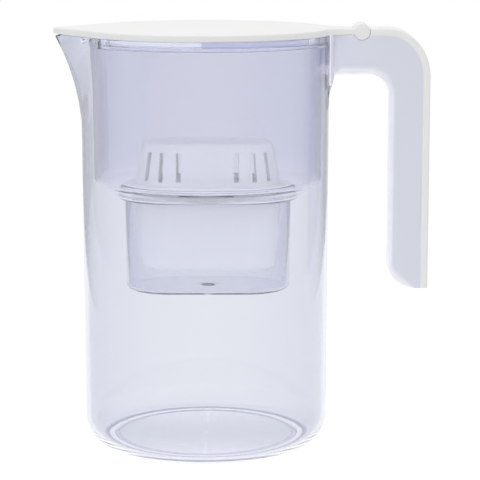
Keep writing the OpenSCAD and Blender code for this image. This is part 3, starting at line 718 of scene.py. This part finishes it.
def buildCup():
    angles = oblongAngles(240)
    endR, outlet, wall, corner = cup["endRadius"], cup["outlet"], cup["wall"], cup["corner"]
    footR = endR - cup["draft"]
    flat = footR - corner
    half = cup["flangeThick"] / 2
    wide = endR + cup["flangeWidth"] - half
    top = cupZ + wall
    rings = roundRings(angles, [(outlet, cupZ + 0.2), (outlet + 0.2, cupZ)])
    rings += [blendRing(angles, flat, outlet, 1 - k / 4, cupZ) for k in range(1, 4)]
    profile = arc(flat, cupZ + corner, corner, corner, -90, 0, 12)
    profile += [(mix(footR, endR, k / 5), mix(cupZ + corner, cupSeat - 0.4, k / 5)) for k in range(1, 6)]
    profile += [(endR + 0.4, cupSeat)] + arc(wide, cupSeat + half, half, half, -90, 90, 10)
    profile += [(endR - wall + 0.4, cupRim)]
    profile += [(mix(endR, footR, k / 5) - wall, mix(cupRim - 0.4, cupZ + corner, k / 5)) for k in range(5)]
    profile += arc(flat, cupZ + corner, corner - wall, corner - wall, 0, -90, 10)
    rings += oblongRings(angles, profile)
    rings += [blendRing(angles, flat, outlet, k / 4, top) for k in range(1, 4)]
    rings += roundRings(angles, [(outlet + 0.2, top), (outlet, top - 0.2)])
    ringPiece("cup_shell", rings, "cup", ["filter_cup"], 50, True)


buildCup()
print("cup built")


cartridge = {
    "gap": 3.9, "depth": 47.0, "draft": 3.5, "wall": 1.6,
    "capHeight": 26.0, "capDraft": 4.6, "capInset": 0.6, "slotWidth": 2.8,
    "slotHeight": 17.0, "slotRise": 3.5, "slotsX": (-17, 17),
    "slotTurns": (-72, -46, 46, 72), "edge": 3.0, "rimInset": 2.0, "hole": 1.4,
    "holePitch": 8,
    "lift": 0.01,  # of the dome off the housing
}
cartridge["radius"] = cup["endRadius"] - cup["wall"] - cartridge["gap"]
cartridgeSeat = cupRim + cup["gasket"]
cartridgeRim = cartridgeSeat + cartridge["wall"]
cartridgeZ = cupRim - cartridge["depth"]
capTop = cartridgeRim + cartridge["capHeight"]


def buildHousing():
    r, low = cartridge["radius"], cartridge["radius"] - cartridge["draft"]
    e, wall, pitch = cartridge["edge"], cartridge["wall"], cartridge["holePitch"]
    wide = cup["endRadius"] + cup["flangeWidth"] - cartridge["rimInset"]
    profile = arc(low - e, cartridgeZ + e, e, e, -90, 0, 8)
    profile += [(r - 0.3, cartridgeSeat - 1.0), (r + 0.4, cartridgeSeat), (wide - 0.3, cartridgeSeat),
                (wide, cartridgeSeat + 0.3), (wide, cartridgeRim - 0.4), (wide - 0.4, cartridgeRim),
                (r - wall, cartridgeRim), (low - wall, cartridgeZ + wall)]
    rings = oblongRings(oblongAngles(200), profile)
    piece = ringPiece("cartridge_body", rings, "cartridge", ["cartridge_housing"])
    holes = bmesh.new()
    for x in range(-3 * pitch, 3 * pitch + 1, pitch):
        for y in (-pitch, 0, pitch):
            addRod(holes, cartridge["hole"], cartridgeZ - 1, cartridgeZ + 3, (bowlX + x, y, 0), count=20)
    combine(piece, holes, "DIFFERENCE")


def buildCap():
    low = cartridge["radius"] - cartridge["capInset"]
    high = low - cartridge["capDraft"]
    e, w, foot = cartridge["edge"], cartridge["wall"], cartridgeRim + cartridge["lift"]
    profile = [(high - e, capTop - w), (high - w - 0.6, capTop - w - 1.4), (low - w, foot),
               (low + 0.4, foot), (low, cartridgeRim + 0.6),
               (mix(low, high, 0.5), mix(cartridgeRim, capTop - e, 0.5))]
    profile += arc(high - e, capTop - e, e, e, 0, 90, 8)
    rings = oblongRings(oblongAngles(220), profile)
    piece = ringPiece("cartridge_dome", rings, "dome", ["cartridge_cap"])
    cuts = bmesh.new()
    z0 = cartridgeRim + cartridge["slotRise"]
    z1 = z0 + cartridge["slotHeight"]
    half, reach = cartridge["slotWidth"] / 2, low + 2
    for x in cartridge["slotsX"]:
        addBlock(cuts, (bowlX + x - half, -reach, z0), (bowlX + x + half, reach, z1), 0)
    for end in (-1, 1):
        for a in cartridge["slotTurns"]:
            turn = radians(a if end > 0 else 180 - a)
            corners = [(bowlX + end * cup["centre"] + along * cos(turn) - across * sin(turn),
                        along * sin(turn) + across * cos(turn)) for along, across in
                       ((high / 2, -half), (reach, -half), (reach, half), (high / 2, half))]
            addRings(cuts, [[(x, y, z) for x, y in corners] for z in (z0, z1)])
    combine(piece, cuts, "DIFFERENCE")


buildHousing()
buildCap()
print("cartridge built")


lidLow, lidHigh = boxMm("flip_lid")
lid = {
    "z": jug["height"] + 0.3, "thick": 3.7, "radius": lidHigh[1], "tip": -lidLow[0],
    "tipRadius": 4.0, "tailHalf": 12.0, "blend": 16.0, "edge": 1.0,
    "underEdge": 0.4, "knuckle": 4.9, "knuckleHalf": 4.8, "bore": 1.55,
    "boreEnd": 1.2,  # wall that closes the bore on the far side
    "gap": 0.3,
}
hingeX, _, hingeZ = jointMm(0)
hingeAxis = (hingeX, 0, hingeZ)


def lidOutline(inset):
    # outline seen from above, moved in by the same distance all round
    r, tipR, tip = lid["radius"] - inset, lid["tipRadius"] - inset, lid["tip"] - inset
    half, blend = lid["tailHalf"] - inset, lid["blend"] + inset
    opening = degrees(acos((r - tipR) / (tip - tipR)))
    cy = lid["tailHalf"] + lid["blend"]
    cx = sqrt((lid["radius"] + lid["blend"]) ** 2 - cy * cy)
    start = degrees(atan2(cy, cx))
    slotHalf = lid["knuckleHalf"] + lid["gap"] + inset
    slotX = hingeX - lid["knuckle"] - 2 * lid["gap"] - inset
    side = [(x, y) for x, y in arc(cx, cy, blend, blend, 270, 180 + start, 10)]
    side += arc(0, 0, r, r, start, 180 - opening, 60)[1:]
    nose = arc(tipR - tip, 0, tipR, tipR, 180 - opening, 180 + opening, 14)
    far = [(x, -y) for x, y in reversed(side)]
    tail = [(hingeX, -half), (hingeX, -slotHalf), (slotX, -slotHalf), (slotX, slotHalf),
            (hingeX, slotHalf), (hingeX, half)]
    return side + nose + far + tail


def buildLid():
    z0, z1, e = lid["z"], lid["z"] + lid["thick"], lid["edge"]
    steps = [(lid["underEdge"], z0), (0.0, z0 + lid["underEdge"])]
    steps += [(e * (1 - cos(a)), z1 - e + e * sin(a)) for a in map(radians, (0, 22, 45, 68, 90))]
    rings = [[(x, y, z) for x, y in lidOutline(inset)] for inset, z in steps]
    ringPiece("lid_plate", rings, "lid", ["flip_lid"], body="lid")
    bm = bmesh.new()
    low, high, r, bore = lid["knuckleHalf"] + lid["gap"], lid["tailHalf"] - 0.05, lid["knuckle"], lid["bore"]
    outside = [(bore, low), (r - 0.3, low), (r, low + 0.3), (r, high - 0.8), (r - 0.25, high - 0.25),
               (r - 0.8, high)]
    end = high - lid["boreEnd"]
    closed = [(fineBore, high), (fineBore, end), (bore, end)]
    for side, profile in ((-1, outside + closed), (1, outside + [(bore, high)])):
        addLathe(bm, [(q, side * h) for q, h in profile], hingeAxis, "y")
    makePiece("lid_knuckles", bm, "lid", body="lid")


liner = {
    "thick": 1.5, "skirtDrop": 7.1, "skirt": 1.8, "gap": 1.6,
    "groove": 0.8, "sealRise": 1.0, "sealHeight": 2.6, "sealOut": 0.9,
    "eye": 1.95,  # of the two eyes that the flap's pins turn in
    "eyeHalf": 1.1, "eyeBore": 0.86,
}
flap = {
    "half": 15.0, "length": 2.9, "thick": 1.2, "edge": 0.3,
    "pin": 0.8, "pinLength": 1.5,
    "play": 0.2,  # between the flap and the eyes
}
flapX, _, flapZ = jointMm(1)


def buildLiner():
    top = lid["z"] - 0.01
    r = mouthIn - liner["gap"]
    under, low = top - liner["thick"], top - liner["skirtDrop"]
    groove, h = r - liner["groove"], liner["sealHeight"]
    sealZ = low + liner["sealRise"]
    skirt = r - liner["skirt"]
    profile = [(fineBore, top), (r + 0.5, top), (r + 0.8, top - 0.3), (r + 0.8, under + 0.3),
               (r + 0.5, under), (r, under - 0.3), (r, sealZ + h), (groove, sealZ + h), (groove, sealZ),
               (r, sealZ), (r, low + 0.4), (r - 0.4, low), (skirt + 0.4, low), (skirt, low + 0.4),
               (skirt, under - 0.6), (skirt - 0.6, under), (fineBore, under)]
    bm = bmesh.new()
    addLathe(bm, profile, (bowlX, 0, 0), count=160)
    eye, half, bore, e = liner["eye"], liner["eyeHalf"], liner["eyeBore"], 0.25
    for side in (-1, 1):
        y = side * (flap["half"] + flap["play"] + half)
        addBlock(bm, (flapX - eye, y - half, flapZ), (bowlX - r + 3, y + half, top), 0.3)
        addLathe(bm, [(bore, -half), (eye - e, -half), (eye, e - half), (eye, half - e), (eye - e, half),
                      (bore, half)], (flapX, y, flapZ), "y", 32)
    makePiece("liner_plate", bm, "liner", ["lid_liner"], body="lid")
    bm = bmesh.new()
    profile = [(groove, 0.1), (r + 0.1, 0.1), (r + 0.5, 0.6), (r + liner["sealOut"], h / 2),
               (r + 0.5, h - 0.6), (r + 0.1, h - 0.1), (groove, h - 0.1)]
    addLathe(bm, profile, (bowlX, 0, sealZ), count=160)
    makePiece("lid_seal_ring", bm, "seal", ["lid_seal"], 60, "lid")


def buildFlap():
    pin, half, t = flap["pin"], flap["half"], flap["thick"] / 2
    r, end, e = pin + 0.5, half + flap["pinLength"], 0.2
    profile = [(fineBore, end), (pin - e, end), (pin, end - e), (pin, half), (r - e, half), (r, half - e)]
    profile = [(q, -y) for q, y in profile] + profile[::-1]
    bm = bmesh.new()
    addLathe(bm, profile, (flapX, 0, flapZ), "y", 32)
    addBlock(bm, (flapX - t, -half, flapZ - flap["length"]), (flapX + t, half, flapZ), flap["edge"])
    makePiece("flap_plate", bm, "flap", ["spout_flap"], body="spout_flap")


buildLid()
buildLiner()
buildFlap()
print("lid built")


handle = {
    "half": 12.0, "top": lid["z"] + lid["thick"],
    "armDepth": 27.5,
    "grip": 23.5, "drop": 155.5, "cornerOutX": 25.0, "cornerOutZ": 29.0,
    "cornerIn": 13.0, "toe": 14.0, "shell": 2.4, "strip": 4.0,
    "rootRound": 2.0,
    "armRound": 8.0,  # rounding of the lower edges along the arm
    "gripRound": 4.0,  # rounding of the inner edges down the grip
    "toeRound": 7.5, "stripEdge": 1.2,
    "hug": 0.06,  # gap round the lid's knuckles
    "hollow": 2.0,  # the hollow starts this far behind the end of the cover strip
    "seatGap": 0.2,  # between the lid and the arm under it
    "seam": 0.3,  # chamfer where the shell and the cover strip meet
    "play": 0.15, "screwHead": 2.8, "screwHole": 1.6, "headDepth": 2.4,
}
outX = boxMm("handle_strip")[1][0]
inX = outX - handle["grip"]
underZ = handle["top"] - handle["armDepth"]
toeZ = handle["top"] - handle["drop"]
stripX = hingeX + lid["knuckle"] + 2 * lid["gap"]
hollowX = stripX + handle["hollow"]
seatZ = lid["z"] - handle["seatGap"]


def armShares():
    # how far along the arm its cross-sections stand, close together where the seat ends
    reach = outX - handle["cornerOutX"] - rootX
    stops = [0.0, 0.4, 1.2, 2.6, 4.6, 7.0, 10.0, 13.0, 16.0, 19.0]
    for x in (stripX, hollowX):
        stops += [x - rootX - 0.05, x - rootX]
    return [stop / reach for stop in stops + [28.0]]


def outerPath(t):
    # outer contour in the XZ plane, set in by t: along the top, round the corner and down
    x1 = outX - handle["cornerOutX"]
    z0 = handle["top"] - handle["cornerOutZ"]
    pts = [(mix(rootX, x1, share), handle["top"] - t) for share in armShares()]
    pts += arc(x1, z0, handle["cornerOutX"] - t, handle["cornerOutZ"] - t, 90, 0, 28)
    pts += [(outX - t, mix(z0, toeZ, k / 50)) for k in range(1, 51)]
    return pts


def innerPath():
    # inner contour, point for point across from the outer one, from the root to the free end
    c, toe = handle["cornerIn"], handle["toe"]
    cx, cz = inX - c, underZ - c
    pts = [(mix(rootX, cx, share), underZ) for share in armShares()]
    pts += arc(cx, cz, c, c, 90, 0, 28)
    run = 38
    low = toeZ + toe
    pts += [(inX, mix(cz, low, k / run)) for k in range(1, run + 1)]
    pts += arc(inX + toe, low, toe, toe, 180, 270, 50 - run)[1:]
    return pts


def handleSection(outer, inner, edge, wall):
    # one closed cross-section of the handle, as points (x, y, z): a U, or solid where there is no
    # wall to leave
    half = handle["half"]
    ox, oz = outer
    ix, iz = inner
    depth = hypot(ix - ox, iz - oz)
    ux, uz = (ix - ox) / depth, (iz - oz) / depth

    def at(d, y):
        return (ox + ux * d, y, oz + uz * d)
    e = min(edge, depth * 0.48, half - 0.5)
    seam = handle["seam"]
    out = [at(0.0, half - seam), at(seam, half)]
    out += [at(mix(seam, depth - e, k / 4), half) for k in range(1, 4)]
    out += [at(depth - e + e * sin(a), half - e + e * cos(a)) for a in map(radians, range(0, 91, 6))]
    out += [(x, -y, z) for x, y, z in reversed(out)]
    side = half - handle["shell"]
    if wall is None:
        return out + [at(0.0, mix(-side, side, k / 21)) for k in range(22)]
    inE = max(0.8, e - wall)
    base = max(0.8, depth - wall)
    inside = [at(0.0, -side)] + [at(mix(0.0, base - inE, k / 4), -side) for k in range(1, 4)]
    inside += [at(base - inE + inE * sin(a), -side + inE * (1 - cos(a)))
               for a in map(radians, range(0, 91, 15))]
    inside += [(x, -y, z) for x, y, z in reversed(inside)]
    return out + inside


def buildHandle():
    outer, inner = outerPath(handle["strip"]), innerPath()
    rings = []
    for k, (o, i) in enumerate(zip(outer, inner)):
        s = k / (len(outer) - 1)
        onArm = o[1] > seatZ - 0.5
        edge = mix(handle["rootRound"], handle["armRound"], smooth((o[0] - rootX) / 9))
        edge = mix(edge, handle["gripRound"], smooth((s - 0.2) / 0.2))
        if s > 0.85:
            edge = mix(handle["gripRound"], handle["toeRound"], smooth((s - 0.85) / 0.12))
        if onArm and o[0] < stripX - 0.01:
            o = (o[0], seatZ)
        solid = onArm and o[0] < hollowX - 0.01
        rings.append(handleSection(o, i, edge, None if solid else handle["shell"]))
    piece = ringPiece("handle_body", rings, "handle", ["handle_shell"], 40)

    r, reach, bore, e = lid["knuckle"], lid["knuckleHalf"] - 0.05, lid["bore"], 0.3
    middle = bmesh.new()
    addLathe(middle, [(bore, -reach), (r - e, -reach), (r, e - reach), (r, reach - e), (r - e, reach),
                      (bore, reach)], hingeAxis, "y")
    combine(piece, middle, "UNION")

    # room for the lid's knuckles, the tongue and the two screws with their heads
    cuts = bmesh.new()
    room, wide, play = lid["knuckle"] + handle["hug"], handle["half"] + 1, handle["play"]
    headZ = seatZ - handle["headDepth"]
    head, hole = handle["screwHead"] + play, handle["screwHole"]
    for side in (-1, 1):
        addRod(cuts, room, side * lid["knuckleHalf"], side * wide, hingeAxis, "y")
    addBlock(cuts, (rootX - 2, -tongue["half"] - play, tongueTop - tongue["height"] - play),
             (rootX + tongue["length"] + play, tongue["half"] + play, tongueTop + play), 0.3)
    for side in (-1, 1):
        addLathe(cuts, [(fineBore, tongueTop), (hole, tongueTop), (hole, headZ), (head, headZ),
                        (head, seatZ + 2), (fineBore, seatZ + 2)],
                 screwPlace(side), count=32)
    combine(piece, cuts, "DIFFERENCE")


def buildStrip():
    half, e, seam = handle["half"], handle["stripEdge"], handle["seam"]
    rings = []
    for (tx, tz), (ux, uz) in zip(outerPath(0.0), outerPath(handle["strip"])):
        if tx < stripX + 0.01 and tz > handle["top"] - 0.01:
            continue
        depth = hypot(ux - tx, uz - tz)
        nx, nz = (ux - tx) / depth, (uz - tz) / depth
        sec = [(0.0, half - e)]
        sec += [(e * (1 - cos(a)), half - e + e * sin(a)) for a in map(radians, (22, 45, 67, 90))]
        sec += [(depth - seam, half), (depth, half - seam)]
        sec += [(d, -y) for d, y in reversed(sec)]
        rings.append([(tx + nx * d, y, tz + nz * d) for d, y in sec])
    first = [(stripX - 0.8, y, z) for x, y, z in rings[0]]
    piece = ringPiece("handle_cover", [first] + rings, "lid", ["handle_strip"], 40)
    knuckle = bmesh.new()
    addRod(knuckle, lid["knuckle"] + handle["hug"], -half - 1, half + 1, hingeAxis, "y", 96)
    combine(piece, knuckle, "DIFFERENCE")


buildHandle()
buildStrip()
print("handle built")


keptFinish = {  # what each piece of the CAD model is made of
    "cup_gasket": "seal", "cartridge_seal": "seal", "inlet_screen": "screen",
    "outlet_screen": "screen", "felt_pad": "felt", "carbon_bed": "carbon",
    "resin_bed": "resin", "handle_screws": "steel", "hinge_pin": "steel",
}
for node, key in keptFinish.items():
    part = frame["nodes"][node]
    part.data.materials.clear()
    part.data.materials.append(finish[key])
for name in shaped:
    # shading follows the broad faces, so the narrow ones along their edges don't bend it
    bpy.data.objects[name].modifiers.new("normals", "WEIGHTED_NORMAL").keep_sharp = True
print("kept pieces dressed")


studio = {  # metres, watts and degrees
    "worldLight": 0.64,
    # name, watts, place and size of each lamp
    "lamps": (("key", 8.0, (-0.25, -0.35, 1.6), 1.2), ("fill", 0.8, (1.2, -0.8, 0.9), 0.8)),
    "aimHeight": 0.15, "floorHalf": 6.0, "floorBounce": 0.98, "shadowShare": 0.15,
    "paper": 1.06,  # keeps the far floor as white as the world behind it
    "throughWalls": 1.75,  # for light that reaches the parts inside, as clear walls then dim it
    "cardNear": (0.42, 0.15),  # near and far end of each card: X from the camera's axis, and Y
    "cardFar": (0.3, 1.2), "cardHeight": 0.5, "patchZ": 0.0002,
    # name, inner and outer radius, and half turns of each flat piece under the base, a painted contact shadow
    "patches": (("patch", 0.001, 0.054, 2), ("ring", 0.0545, 0.056, 1), ("ring", 0.0598, 0.0622, 2)),
    "cameraX": 0.0208, "cameraAway": 1.2, "cameraHeight": 0.3252, "cameraTilt": 9.6, "lens": 150.9,
}


def whiteForCamera(tree, lit, white, level=1.0, share=1.0):
    # camera, mirror and see-through rays find plain white; everything else finds the lit colour
    rays = addNode(tree, "LightPath").outputs
    seen = maths(tree, "MAXIMUM", maths(tree, "MAXIMUM", rays["Is Camera Ray"], rays["Is Glossy Ray"]),
                 rays["Is Transmission Ray"])
    # a ray that left a dull surface and comes out through clear walls
    inside = maths(tree, "MINIMUM", rays["Diffuse Depth"], 1.0)
    strength = remap(tree, inside, {"To Min": level, "To Max": studio["throughWalls"]})
    tree.links.new(strength, white.inputs["Strength"])
    blend = addNode(tree, "MixShader", {"Fac": maths(tree, "MULTIPLY", seen, share),
                                        1: lit.outputs[0], 2: white.outputs[0]})
    return blend.outputs["Shader"], seen


paper = {"Color": toLinear("#FFFFFF")}


def buildWorld():
    world = bpy.data.worlds.new("studio")
    bpy.context.scene.world = world
    world.use_nodes = True
    tree = world.node_tree
    tree.nodes.clear()
    lit = addNode(tree, "Background", {**paper, "Strength": studio["worldLight"]})
    blend = whiteForCamera(tree, lit, addNode(tree, "Background", paper))[0]
    addNode(tree, "OutputWorld", {"Surface": blend})


def buildFloor():
    mesh = bpy.data.meshes.new("floor")
    reach = studio["floorHalf"]
    corners = [(-reach, -reach, 0), (reach, -reach, 0), (reach, reach, 0), (-reach, reach, 0)]
    mesh.from_pydata(corners, [], [(0, 1, 2, 3)])
    floor = addObject("floor", mesh)
    material = bpy.data.materials.new("paperSweep")
    material.use_nodes = True
    tree = material.node_tree
    tree.nodes.clear()
    lit = addNode(tree, "BsdfDiffuse")
    blend, seen = whiteForCamera(tree, lit, addNode(tree, "Emission", paper), studio["paper"],
                                 1 - studio["shadowShare"])
    tone = remap(tree, seen, {"To Min": studio["floorBounce"], "To Max": 1.0})
    tree.links.new(tone, lit.inputs["Color"])
    addNode(tree, "OutputMaterial", {"Surface": blend})
    mesh.materials.append(material)


def buildCards():
    # grey cards stand on both sides, and a grey patch and rings lie under the base as painted contact shadow.
    # They are seen only in and through clear plastic, so that its edges draw themselves
    shapes = []
    for side in (-1, 1):
        edges = [(studio["cameraX"] + side * x, y) for x, y in (studio["cardNear"], studio["cardFar"])]
        corners = [(x, y, 0.0) for x, y in edges] + [(x, y, studio["cardHeight"]) for x, y in reversed(edges)]
        shapes.append(("card", [corners]))
    for name, low, high, halfTurns in studio["patches"]:
        turns = [halfTurns * pi * k / 96 for k in range(97)]
        near, far = ([(r * cos(t), r * sin(t), studio["patchZ"]) for t in turns] for r in (low, high))
        shapes.append((name, [[near[k], far[k], far[k + 1], near[k + 1]] for k in range(96)]))
    for name, faces in shapes:
        mesh = bpy.data.meshes.new(name)
        corners = [corner for face in faces for corner in face]
        mesh.from_pydata(corners, [], [range(4 * k, 4 * k + 4) for k in range(len(faces))])
        mesh.materials.append(finish[name])
        card = addObject(name, mesh)
        card.visible_camera = card.visible_diffuse = card.visible_shadow = False


def buildLamps():
    for name, watts, place, size in studio["lamps"]:
        lamp = bpy.data.lights.new(name, "AREA")
        lamp.energy = watts
        lamp.size = size
        holder = addObject(name, lamp)
        holder.location = place
        aim = Vector((0, 0, studio["aimHeight"])) - holder.location
        holder.rotation_euler = aim.to_track_quat("-Z", "Y").to_euler()


def buildCamera():
    camera = addObject("camera", bpy.data.cameras.new("camera"))
    camera.data.sensor_width = 36
    camera.data.lens = studio["lens"]
    camera.location = (studio["cameraX"], -studio["cameraAway"], studio["cameraHeight"])
    camera.rotation_euler = (radians(90 - studio["cameraTilt"]), 0, 0)
    scene = bpy.context.scene
    scene.camera = camera
    scene.view_settings.view_transform = "Standard"
    scene.cycles.max_bounces = 48
    scene.cycles.transmission_bounces = 32
    scene.cycles.glossy_bounces = 40
    scene.cycles.blur_glossy = 0.0  # blurring would darken everything behind clear walls


buildWorld()
buildFloor()
buildCards()
buildLamps()
buildCamera()
print("studio ready")
